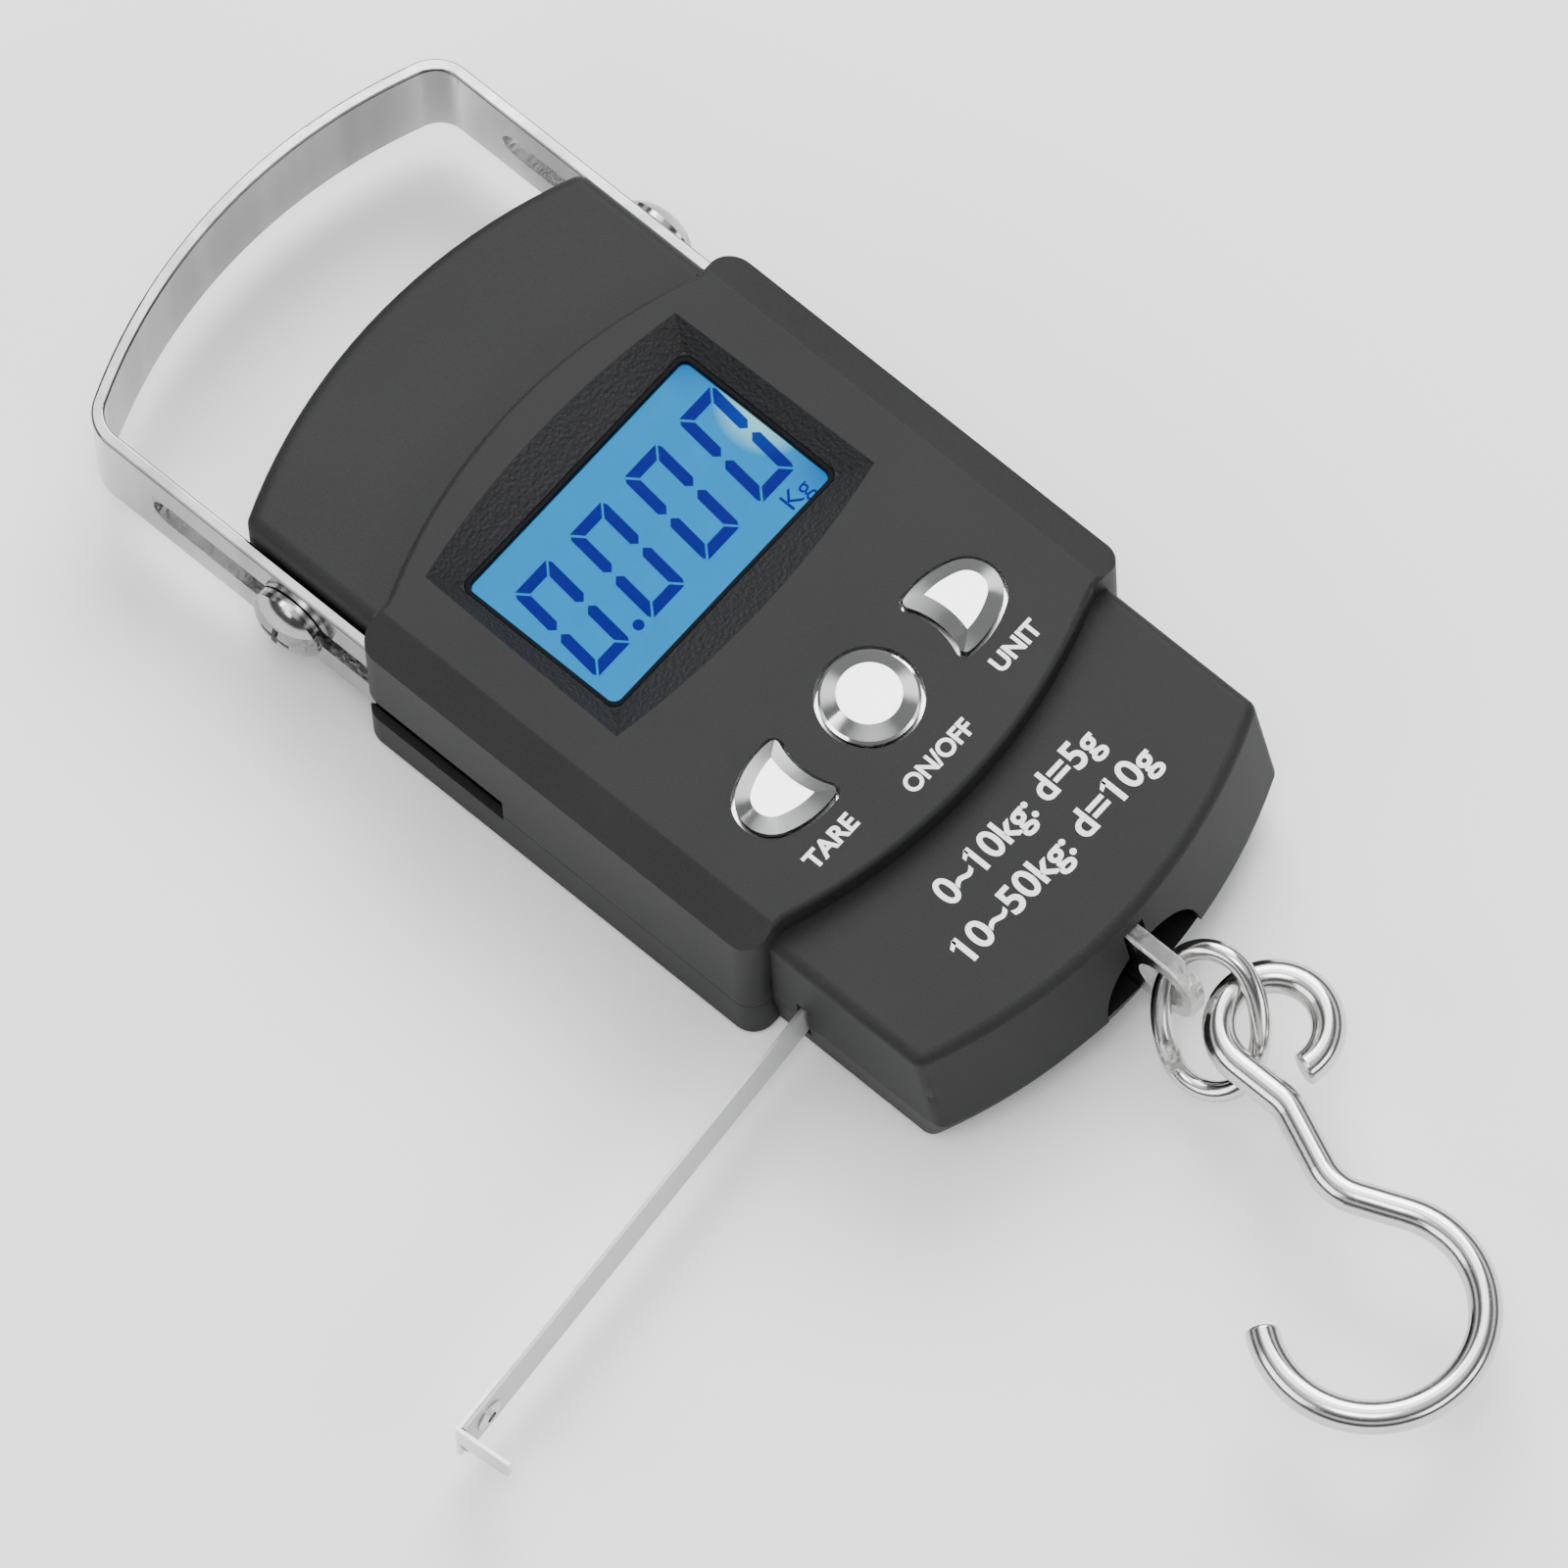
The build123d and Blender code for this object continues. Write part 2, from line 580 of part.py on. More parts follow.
def make_hanger_tab():
    """Cut steel plate: eye outside the case, neck inside it, pinned to the beam."""
    half = TAB_T / 2
    with BuildSketch(Plane.YZ) as side:
        with Locations(((EYE_END_Y - 50) / 2, EYE_Z)):
            RectangleRounded(-50 - EYE_END_Y, 2 * EYE_HALF_H, EYE_CORNER_R)
        with Locations((-52.5, EYE_Z)):
            Rectangle(12.6, 30, mode=Mode.SUBTRACT)
        with BuildLine():
            Polyline((-62.6, EYE_Z - EYE_HALF_H), (-58.8, 13.3), (-18.0, 13.3), (-18.0, 19.3),
                     (-58.8, 19.3), (-61.5, EYE_Z + EYE_HALF_H), (-64.0, EYE_Z + EYE_HALF_H),
                     (-64.0, EYE_Z - EYE_HALF_H), close=True)
        make_face()
        with Locations((EYE_Y, EYE_Z)):
            Circle(EYE_HOLE_R, mode=Mode.SUBTRACT)
        with Locations((-23, CELL_LOW_Z + CELL_T / 2)):
            Circle(1.55, mode=Mode.SUBTRACT)
    tab = extrude(side.sketch, half, both=True)
    rims = [e for e in tab.edges().filter_by(GeomType.CIRCLE) if abs(e.radius - EYE_CORNER_R) < 0.01]
    return chamfer(rims, 0.35)


def make_hanger_pin():
    """Cross pin through the beam's fork and the tab."""
    pin = Pos(0, -23, CELL_LOW_Z + CELL_T / 2) * Rot(0, 90, 0) * Cylinder(1.5, 13)
    for side in (-1, 1):
        pin += Pos(side * 6.85, -23, CELL_LOW_Z + CELL_T / 2) * Rot(0, 90, 0) * Cylinder(2.3, 0.7)
    return pin


def make_link_ring():
    """Closed oval ring of round wire, made of four tangent arcs."""
    plane = Plane(origin=LINK_CENTRE, x_dir=LINK_LONG_DIR, z_dir=LINK_NORMAL)
    end_x = LINK_HALF_L - LINK_END_R
    side_r = (end_x ** 2 + LINK_HALF_W ** 2 - LINK_END_R ** 2) / (2 * (LINK_HALF_W - LINK_END_R))
    side_y = side_r - LINK_HALF_W
    half = math.degrees(math.atan2(side_y, end_x))
    with BuildLine(plane) as path:
        CenterArc((end_x, 0), LINK_END_R, -half, 2 * half)
        CenterArc((0, -side_y), side_r, half, 180 - 2 * half)
        CenterArc((-end_x, 0), LINK_END_R, 180 - half, 2 * half)
        CenterArc((0, side_y), side_r, 180 + half, 180 - 2 * half)
    wire = path.line
    section = Plane(origin=wire @ 0, z_dir=wire % 0) * Circle(LINK_WIRE_R)
    return sweep(section, path=wire)


def make_hook():
    """Round-wire hook: closed eye, cranked shank, wide open bowl."""
    start_ang = -108.0
    reach = math.hypot(HOOK_BEND_X - BOWL_X, HOOK_BEND_Y - BOWL_Y)
    toward = math.degrees(math.atan2(HOOK_BEND_Y - BOWL_Y, HOOK_BEND_X - BOWL_X))
    touch = toward - math.degrees(math.acos(BOWL_R / reach))
    touch_x = BOWL_X + BOWL_R * math.cos(math.radians(touch))
    touch_y = BOWL_Y + BOWL_R * math.sin(math.radians(touch))
    shank_x = HOOK_EYE_X - HOOK_EYE_R
    turn = TIP_ANGLE - touch
    with BuildLine() as path:
        CenterArc((HOOK_EYE_X, HOOK_EYE_Y), HOOK_EYE_R, start_ang, 180 - start_ang)
        FilletPolyline((shank_x, HOOK_EYE_Y), (shank_x, -88.3), (HOOK_BEND_X, HOOK_BEND_Y),
                       (touch_x, touch_y), radius=7.0)
        CenterArc((BOWL_X, BOWL_Y), BOWL_R, touch, -(360 - turn))
    wire = Pos(0, 0, EYE_Z) * path.line
    section = Plane(origin=wire @ 0, z_dir=wire % 0) * Circle(HOOK_WIRE_R)
    hook = sweep(section, path=wire)
    ends = [e for e in hook.edges().filter_by(GeomType.CIRCLE) if abs(e.radius - HOOK_WIRE_R) < 0.01]
    tips = (wire @ 0, wire @ 1)
    ends = [e for e in ends if min((e.arc_center - tip).length for tip in tips) < 0.1]
    return fillet(ends, 0.5)


def rivet_place():
    """Middle of the rivet, with its axis across the blade."""
    return Pos(*tape_line(TAPE_OUT - 4.2, 0, TAPE_LOW_Z + TAPE_W / 2)) * Rot(0, 0, TAPE_ANGLE) * Rot(90, 0, 0)


def make_tape_blade():
    """Straight printed steel blade from just inside the wall to its end hook."""
    length = TAPE_OUT + 1.6
    centre = tape_line(TAPE_OUT - length / 2, 0, TAPE_LOW_Z + TAPE_W / 2)
    blade = Pos(*centre) * Rot(0, 0, TAPE_ANGLE) * Box(length, TAPE_T, TAPE_W)
    return blade - rivet_place() * Cylinder(1.02, 6)


def make_tape_end_hook():
    """Folded end stop: a leg behind the blade and a tongue to catch an edge."""
    thick = 0.5
    leg_len = 8.0
    tongue_len = 7.2
    tongue_h = 4.2
    behind = TAPE_T / 2 + thick
    top_z = TAPE_LOW_Z + TAPE_W + 0.15
    leg_along = TAPE_OUT + 0.25 + thick - leg_len / 2
    leg_at = Pos(*tape_line(leg_along, thick / 2 - behind, TAPE_LOW_Z + TAPE_W / 2))
    leg = leg_at * Rot(0, 0, TAPE_ANGLE) * Box(leg_len, thick, TAPE_W + 0.3)
    with BuildSketch(Plane.YZ) as tongue:
        with Locations(((behind - tongue_len) / 2, top_z - tongue_h / 2)):
            Rectangle(behind + tongue_len, tongue_h)
        fillet(tongue.vertices().group_by(Axis.Y)[0], 1.5)
    tongue_at = Pos(*tape_line(TAPE_OUT + 0.25 + thick / 2)) * Rot(0, 0, TAPE_ANGLE)
    fold = leg + tongue_at * extrude(tongue.sketch, thick / 2, both=True)
    return fold - rivet_place() * Cylinder(1.02, 6)


def make_tape_rivet():
    """Hollow eyelet through blade and hook leg, with its wide rim in front."""
    face = TAPE_T / 2
    low = -face - 0.8
    high = face + 0.3
    shank = Pos(0, 0, (low + high) / 2) * Cylinder(1.0, high - low)
    rim = Pos(0, 0, face + 0.15) * Cylinder(2.1, 0.3)
    bead = Pos(0, 0, face + 0.45) * Cone(1.6, 1.2, 0.3)
    back = Pos(0, 0, -face - 0.65) * Cylinder(1.6, 0.3)
    bore = Pos(0, 0, face + 0.5) * Cylinder(0.8, 0.9)
    return rivet_place() * (shank + rim + bead + back - bore)


def make_tape_coil():
    """Wound part of the tape on the spool."""
    return Pos(0, SPOOL_Y, TAPE_LOW_Z + TAPE_W / 2) * (Cylinder(COIL_R, TAPE_W) - Cylinder(DRUM_R + 0.03, 20))


def make_tape_spool():
    """Drum with a base flange and a hub that turns on the pin."""
    drum = Pos(0, SPOOL_Y, 8.0) * (Cylinder(DRUM_R, 7.7) - Cylinder(DRUM_R - 0.9, 20))
    base = Pos(0, SPOOL_Y, 3.85) * (Cylinder(COIL_R - 0.1, 0.6) - Cylinder(1.55, 2))
    hub = Pos(0, SPOOL_Y, 4.6) * (Cylinder(2.6, 1.2) - Cylinder(1.55, 4))
    return drum + base + hub


def make_return_spring():
    """Flat spiral spring between spool drum and pin."""
    turns = 4.0
    low = 1.95
    high = 6.4
    points = []
    for i in range(int(turns * 12) + 1):
        ang = 2 * math.pi * i / 12
        r = low + (high - low) * i / (turns * 12)
        points.append((r * math.cos(ang), r * math.sin(ang)))
    back = [(p[0] * (1 + 0.25 / math.hypot(*p)), p[1] * (1 + 0.25 / math.hypot(*p))) for p in points]
    with BuildSketch() as strip:
        with BuildLine():
            Spline(points)
            Line(points[-1], back[-1])
            Spline(back)
            Line(back[0], points[0])
        make_face()
    return Pos(0, SPOOL_Y, 5.6) * extrude(strip.sketch, 5.6)


def make_spool_pin():
    """Fixed steel pin of the spool."""
    return Pos(0, SPOOL_Y, 6.7) * Cylinder(1.49, 12.0)


def make_tape_cover():
    """Thin plate that closes the tape chamber."""
    return Pos(0, SPOOL_Y, 12.75) * (Cylinder(12.8, 0.5) - Cylinder(1.55, 2))


def make_batteries():
    """Two round cells lying side by side, facing opposite ways."""
    cells = []
    for y, side in zip(CELL_YS, (1, -1)):
        can = Cylinder(CELL_R, CELL_LEN - 0.9)
        nub = Pos(0, 0, CELL_LEN / 2) * Cylinder(1.9, 0.9)
        cells.append(Pos(0, y, CELL_Z) * Rot(0, 90 * side, 0) * (can + nub))
    return Compound(children=cells)


def make_battery_springs():
    """Conical coil springs at the flat end of each cell."""
    springs = []
    for y, side in zip(CELL_YS, (-1, 1)):
        path = Helix(0.62, 1.9, 3.2, cone_angle=-15)
        section = Plane(origin=path @ 0, z_dir=path % 0) * Circle(0.2)
        coil = sweep(section, path=path, is_frenet=True)
        springs.append(Pos(side * 22.15, y, CELL_Z) * Rot(0, 90 * side, 0) * coil)
    return Compound(children=springs)


def make_battery_contacts():
    """Plated contact sheets at both ends of the well."""
    sheets = []
    for side in (-1, 1):
        sheets.append(Pos(side * 24.75, -14.7, 7.4) * Box(0.3, 20.5, 8.4))
    return Compound(children=sheets)


os.makedirs("parts", exist_ok=True)
NODES = {
    "front_cover": make_front_cover,
    "back_cover": make_back_cover,
    "battery_door": make_battery_door,
    "case_screws": make_case_screws,
    "display_window": make_display_window,
    "lcd_panel": make_lcd_panel,
    "backlight_plate": make_backlight_plate,
    "contact_strip": make_contact_strip,
    "circuit_board": make_circuit_board,
    "controller_chip": make_controller_chip,
    "button_domes": make_button_domes,
    "power_button": make_power_button,
    "load_cell": make_load_cell,
    "strain_gauges": make_strain_gauges,
    "signal_wires": make_signal_wires,
    "load_cell_screws": make_load_cell_screws,
    "handle_bracket": make_handle_bracket,
    "handle_strap": make_handle_strap,
    "handle_screws": make_handle_screws,
    "handle_washers": make_handle_washers,
    "hanger_tab": make_hanger_tab,
    "hanger_pin": make_hanger_pin,
    "link_ring": make_link_ring,
    "hook": make_hook,
    "tape_blade": make_tape_blade,
    "tape_end_hook": make_tape_end_hook,
    "tape_rivet": make_tape_rivet,
    "tape_coil": make_tape_coil,
    "tape_spool": make_tape_spool,
    "return_spring": make_return_spring,
    "spool_pin": make_spool_pin,
    "tape_cover": make_tape_cover,
    "batteries": make_batteries,
    "battery_springs": make_battery_springs,
    "battery_contacts": make_battery_contacts,
}
for node, make in NODES.items():
    export_step(make(), f"parts/{node}.step")
for node, side in (("tare_button", -1), ("unit_button", 1)):
    export_step(make_leaf_button(side), f"parts/{node}.step")
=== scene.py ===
import json
import math

import bmesh
import bpy
from mathutils import Matrix, Vector


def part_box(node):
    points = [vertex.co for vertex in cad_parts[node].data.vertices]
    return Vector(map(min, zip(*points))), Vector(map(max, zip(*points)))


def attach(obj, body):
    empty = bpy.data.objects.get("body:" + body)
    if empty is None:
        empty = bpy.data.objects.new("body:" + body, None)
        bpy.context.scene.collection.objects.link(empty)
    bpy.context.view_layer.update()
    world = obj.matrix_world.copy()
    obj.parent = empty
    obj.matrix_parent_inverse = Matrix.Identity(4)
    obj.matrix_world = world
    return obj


MM = 0.001
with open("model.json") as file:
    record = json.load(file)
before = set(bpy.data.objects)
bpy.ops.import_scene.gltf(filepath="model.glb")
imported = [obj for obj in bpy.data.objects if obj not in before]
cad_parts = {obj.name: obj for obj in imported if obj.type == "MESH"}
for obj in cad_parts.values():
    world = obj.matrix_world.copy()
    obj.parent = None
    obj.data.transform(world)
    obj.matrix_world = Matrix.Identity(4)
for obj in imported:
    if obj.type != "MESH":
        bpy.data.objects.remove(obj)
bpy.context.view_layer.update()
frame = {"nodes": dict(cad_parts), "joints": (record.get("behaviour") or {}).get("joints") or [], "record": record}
nodes = frame["nodes"]

# ---------------------------------------------------------------- camera
VIEW_RIGHT = Vector((0.658, -0.752, -0.028)).normalized()
VIEW_BACK = Vector((-0.276, -0.276, 0.921)).normalized()
VIEW_UP = VIEW_BACK.cross(VIEW_RIGHT).normalized()
VIEW_WIDTH = 0.1872
VIEW_DISTANCE = 3.0
VIEW_CENTRE = Vector((0, 0, 13 * MM)) + VIEW_RIGHT * 4.61 * MM - VIEW_UP * 16.8 * MM
SENSOR_WIDTH = 36

camera = bpy.data.objects.new("camera", bpy.data.cameras.new("camera"))
bpy.context.scene.collection.objects.link(camera)
turn = Matrix((VIEW_RIGHT, VIEW_UP, VIEW_BACK)).transposed()
camera.matrix_world = Matrix.Translation(VIEW_CENTRE + VIEW_BACK * VIEW_DISTANCE) @ turn.to_4x4()
camera.data.sensor_width = SENSOR_WIDTH
camera.data.lens = SENSOR_WIDTH * VIEW_DISTANCE / VIEW_WIDTH
camera.data.clip_end = 20
bpy.context.scene.camera = camera


# ---------------------------------------------------------------- material building
class Flow:
    """A value or colour travelling through a material; arithmetic on it adds Math nodes."""

    def __init__(self, tree, socket):
        self.tree = tree
        self.socket = socket

    def math(self, how, first, second=0.0, clamp=False):
        settings = {"operation": how, "use_clamp": clamp}
        return add_node(self.tree, "ShaderNodeMath", settings, {0: first, 1: second})

    def axes(self):
        """The three parts of a direction or place."""
        apart = add_node(self.tree, "ShaderNodeSeparateXYZ", None, {0: self})
        return [Flow(self.tree, output) for output in apart.socket.node.outputs]

    def __add__(self, other):
        return self.math("ADD", self, other)

    def __radd__(self, other):
        return self.math("ADD", other, self)

    def __sub__(self, other):
        return self.math("SUBTRACT", self, other)

    def __rsub__(self, other):
        return self.math("SUBTRACT", other, self)

    def __mul__(self, other):
        return self.math("MULTIPLY", self, other)

    def __rmul__(self, other):
        return self.math("MULTIPLY", other, self)

    def __truediv__(self, other):
        return self.math("DIVIDE", self, other)

    def __pow__(self, other):
        return self.math("POWER", self, other)

    def __lt__(self, other):
        return self.math("LESS_THAN", self, other)

    def __gt__(self, other):
        return self.math("GREATER_THAN", self, other)

    def __abs__(self):
        return self.math("ABSOLUTE", self)

    def above(self, low):
        """How far the value is above low, never less than 0."""
        return self.math("MAXIMUM", self - low, 0.0)

    def clamp(self):
        return self.math("ADD", self, 0.0, clamp=True)

    def over(self, low, high):
        """0 at low and below, 1 at high and above, straight between."""
        return ((self - low) / (high - low)).clamp()

    def near(self, middle, reach):
        """1 at middle, falling to 0 at that distance either side."""
        return 1.0 - abs(self - middle).over(0.0, reach)


def add_node(tree, kind, settings=None, inputs=None, out=0):
    """Adds a node, sets its settings, then its inputs from values or flows."""
    made = tree.nodes.new(kind)
    for name, value in (settings or {}).items():
        setattr(made, name, value)
    for name, value in (inputs or {}).items():
        socket = made.inputs[name]
        if isinstance(value, Flow):
            tree.links.new(value.socket, socket)
        else:
            socket.default_value = value
    return Flow(tree, made.outputs[out])


class Finish:
    """A material on a Principled shader, with helpers for grain, wear and relief in millimetres."""

    def __init__(self, name, **fixed):
        self.material = bpy.data.materials.new(name)
        self.material.use_nodes = True
        self.tree = self.material.node_tree
        self.shader = self.tree.nodes["Principled BSDF"]
        for key, value in fixed.items():
            self.shader.inputs[key.replace("_", " ")].default_value = value
        coords = self.node("ShaderNodeTexCoord", out="Object")
        self.place = self.scaled(coords, 1.0 / MM)
        self.x, self.y, self.z = self.place.axes()

    def node(self, kind, settings=None, inputs=None, out=0):
        return add_node(self.tree, kind, settings, inputs, out)

    def noise(self, scale, detail=3.0, rough=0.55, place=None):
        inputs = {"Vector": place or self.place, "Scale": scale, "Detail": detail, "Roughness": rough}
        return self.node("ShaderNodeTexNoise", None, inputs)

    def cells(self, scale, place=None):
        inputs = {"Vector": place or self.place, "Scale": scale}
        return self.node("ShaderNodeTexVoronoi", {"feature": "F1"}, inputs)

    def stretched(self, x, y, z):
        return self.node("ShaderNodeVectorMath", {"operation": "MULTIPLY"}, {0: self.place, 1: (x, y, z)})

    def blend(self, amount, first, second):
        inputs = {"Factor": amount, "A": first, "B": second}
        return self.node("ShaderNodeMix", {"data_type": "RGBA"}, inputs, 2)

    def mottled(self, amount, tone, dim):
        """A tone that drops to dim times itself where amount rises."""
        return self.blend(amount, colour(*tone), colour(*[part * dim for part in tone]))

    def scaled(self, colour, amount):
        return self.node("ShaderNodeVectorMath", {"operation": "SCALE"}, {0: colour, "Scale": amount})

    def relief(self, height, distance, strength=1.0, base=None):
        """Bump of that height field; distance in millimetres."""
        inputs = {"Height": height, "Distance": distance * MM, "Strength": strength}
        if base:
            inputs["Normal"] = base
        return self.node("ShaderNodeBump", None, inputs)

    def feed(self, **flows):
        for key, flow in flows.items():
            self.tree.links.new(flow.socket, self.shader.inputs[key.replace("_", " ")])
        return self.material


def colour(r, g, b):
    return (r, g, b, 1.0)


# ---------------------------------------------------------------- materials
def box_mm(name):
    """Lowest and highest corner of a node, in millimetres."""
    low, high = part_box(name)
    return low / MM, high / MM


# Places on the object that a finish depends on, in millimetres.
cover_low, cover_high = box_mm("front_cover")
strap_low, strap_high = box_mm("handle_strap")
lens_low, lens_high = box_mm("display_window")
SEAM_Z = cover_low.z
BEZEL_HALF_WIDTH = 23.4
BEZEL_LOW_Y = -3.4
BEZEL_HIGH_Y = 32.4
BEZEL_FLOOR_Z = 24.0
BEZEL_TOP_Z = cover_high.z - 0.07
# heights of the painted dark reflection lines just inside the strap's top and bottom edges
STRAP_DARK_EDGE_LINES = (strap_low.z + 0.18, strap_high.z - 0.18)
STRAP_SLOT_Z = (strap_low.z + strap_high.z) / 2
STRAP_SLOT_HALF_HEIGHT = 2.53
STRAP_SLOT_LOW_Y = 28.9
STRAP_SLOT_HIGH_Y = 65.6
TAB_FACE_X = box_mm("hanger_tab")[1].x - 0.03
LENS_BORDER = 0.5
LENS_CORNER_R = 1.2
LENS_MID_Y = (lens_low.y + lens_high.y) / 2
LENS_STRAIGHT_X = lens_high.x - LENS_BORDER - LENS_CORNER_R
LENS_STRAIGHT_Y = lens_high.y - LENS_MID_Y - LENS_BORDER - LENS_CORNER_R
DISPLAY_MID_Y = 14.6
LAMP_END_X = 20.4
LINK_WELD = (-5.5, -72.1, 7.85)


def case_plastic():
    """Black moulded plastic: fine grain, coarser on the bezel's slopes, and painted shade in a line along the join
    of the covers, with a bump groove there.
    """
    f = Finish("case_plastic", Specular_IOR_Level=0.15)
    grain = f.noise(5.5, 4.0, 0.6)
    pores = f.cells(4.2)
    cloud = f.noise(0.035, 2.0)
    beside_window = (abs(f.x) < BEZEL_HALF_WIDTH) * (f.y > BEZEL_LOW_Y) * (f.y < BEZEL_HIGH_Y)
    inside_bezel = beside_window * (f.z < BEZEL_TOP_Z) * (f.z > BEZEL_FLOOR_Z)
    seam_groove_and_shade = f.z.near(SEAM_Z, 0.22)
    lint = f.noise(1.1, 6.0, 0.7).over(0.66, 0.8)
    base = f.blend(cloud.over(0.3, 0.7), colour(0.010, 0.010, 0.0104), colour(0.014, 0.014, 0.0144))
    base = f.blend(grain.over(0.35, 0.7) * 0.35, base, colour(0.03, 0.03, 0.031))
    base = f.blend(inside_bezel * 0.35, base, colour(0.01, 0.01, 0.0105))
    base = f.blend(lint * 0.1, base, colour(0.06, 0.06, 0.06))
    # painted shade: a near-black line along the join of the two covers stands in for the shade in the gap between
    # them
    base = f.blend(seam_groove_and_shade * 0.85, base, colour(0.002, 0.002, 0.002))
    rough = 0.46 + grain * 0.14 + cloud * 0.06 - inside_bezel * 0.03
    fine = f.relief(grain + pores * 0.5, 0.035, 0.7)
    coarse = f.relief((f.noise(1.9, 3.0, 0.6) + f.cells(1.8) * 0.6) * inside_bezel, 0.2, 1.0, fine)
    groove = f.relief(1.0 - seam_groove_and_shade, 0.18, 1.0, coarse)
    return f.feed(Base_Color=base, Roughness=rough, Normal=groove)


def plated(name, tone, rough_low, rough_high, wave=0.012, streak=(1, 1, 1), punched=False):
    """Bright metal with slow waviness, streaks and smears; punched adds painted reflection bands, painted dark
    reflection lines along the strap's edges, and torn slot walls.
    """
    f = Finish(name, Metallic=1.0)
    along = f.stretched(*streak)
    smear = f.noise(0.22, 3.0, place=along)
    fine = f.noise(9.0, 4.0, 0.65, place=along)
    scratch = f.noise(3.0, 8.0, 0.8, place=f.stretched(streak[0] * 0.4, streak[1] * 3, streak[2] * 3))
    base = f.mottled(smear * 0.5, tone, 0.86)
    rough = rough_low + (rough_high - rough_low) * (smear * 0.6 + fine * 0.4)
    slow = f.relief(f.noise(0.16, 2.0), wave * 8, 0.35)
    normal = f.relief(fine * 0.6 + scratch.over(0.62, 0.75) * 0.4, wave, 0.35, slow)
    if punched:
        # painted reflection: darker bands across the strap's width stand in for the surroundings seen in the
        # chrome
        reflection_bands = f.noise(0.13, 2.0, place=f.stretched(1.0, 1.0, 0.03)).over(0.35, 0.65)
        base = f.blend(reflection_bands * 0.75, base, colour(*[part * 0.55 for part in tone]))
        # painted reflection: near-black lines just inside the strap's top and bottom edges stand in for the dark
        # surroundings seen in its rounded edges
        rim = f.z.near(STRAP_DARK_EDGE_LINES[0], 0.25) + f.z.near(STRAP_DARK_EDGE_LINES[1], 0.25)
        base = f.blend(rim * 0.9, base, colour(0.03, 0.03, 0.03))
        beside_slot = (f.y > STRAP_SLOT_LOW_Y) * (f.y < STRAP_SLOT_HIGH_Y)
        slot_wall = (abs(f.z - STRAP_SLOT_Z) < STRAP_SLOT_HALF_HEIGHT) * beside_slot
        torn = f.noise(1.7, 5.0, 0.7) + f.cells(1.3)
        normal = f.relief(torn * slot_wall, 0.5, 1.0, normal)
        rough = rough + slot_wall * 0.12
    return f.feed(Base_Color=base, Roughness=rough, Normal=normal)


def cut_steel():
    """Sheared plate: smooth faces, torn bright edge."""
    f = Finish("cut_steel", Metallic=1.0)
    edge = abs(f.x) < TAB_FACE_X
    torn = f.noise(1.3, 6.0, 0.7, place=f.stretched(1.0, 0.8, 2.2))
    burr = f.cells(0.9, place=f.stretched(2.0, 1.0, 1.6))
    face = f.noise(6.0, 3.0)
    base = f.blend(torn * edge, colour(0.55, 0.545, 0.53), colour(0.78, 0.78, 0.77))
    base = f.blend(f.noise(0.5, 5.0).over(0.55, 0.75) * 0.5, base, colour(0.26, 0.255, 0.25))
    rough = 0.13 + face * 0.1 + edge * torn * 0.12
    normal = f.relief(torn * edge + burr * edge * 0.5 + face * 0.02, 0.9, 1.0)
    return f.feed(Base_Color=base, Roughness=rough, Normal=normal)


def drawn_wire(name, weld_at=None):
    """Polished round wire with drawing lines and small nicks, and a rough dull weld if it has one."""
    f = Finish(name, Metallic=1.0)
    smear = f.noise(0.3, 4.0)
    nick = f.noise(2.4, 8.0, 0.75).over(0.64, 0.72)
    fine = f.noise(14.0, 3.0, 0.6)
    base = f.blend(smear * 0.6, colour(0.60, 0.595, 0.585), colour(0.44, 0.435, 0.425))
    rough = 0.07 + smear * 0.08 + nick * 0.15
    height = fine * 0.25 - nick * 0.5
    if weld_at:
        gap = f.node("ShaderNodeVectorMath", {"operation": "DISTANCE"}, {0: f.place, 1: weld_at}, "Value")
        scar = 1.0 - gap.over(1.5, 2.6)
        height = height + scar * f.noise(2.2, 4.0, 0.7) * 7.0
        rough = rough + scar * 0.2
        base = f.blend(scar * f.noise(1.6, 3.0).over(0.45, 0.6) * 0.8, base, colour(0.16, 0.155, 0.15))
    normal = f.relief(height, 0.035, 0.6)
    return f.feed(Base_Color=base, Roughness=rough, Normal=normal)


def lamp_spot(f):
    """1 at the lamp end of the display, falling to 0 round an oval."""
    across = (f.x - LAMP_END_X) / 5.2
    along = (f.y - DISPLAY_MID_Y) / 6.4
    return 1.0 - (across ** 2.0 + along ** 2.0).over(0.0, 1.0)


def lit_glass():
    """Blue lit liquid-crystal glass: even field, pale spot at the lamp end, deeper corners."""
    f = Finish("lit_glass", Specular_IOR_Level=0.03, Emission_Strength=1.0)
    spot = lamp_spot(f)
    corner = f.x.over(15.0, 20.5) * abs(f.y - DISPLAY_MID_Y).over(5.0, 11.5)
    wash = f.noise(0.16, 2.0).over(0.3, 0.7)
    base = f.blend(wash * 0.4, colour(0.0, 0.37, 0.90), colour(0.0, 0.42, 0.98))
    base = f.blend(corner * 0.75, base, colour(0.0, 0.10, 0.5))
    base = f.blend(spot * 0.85, base, colour(0.5, 1.3, 1.2))
    speck = f.noise(3.0, 3.0) * 0.05
    base = f.scaled(base, 0.98 + speck)
    return f.feed(Emission_Color=base, Base_Color=f.scaled(base, 0.01), Roughness=0.16 + wash * 0.05)


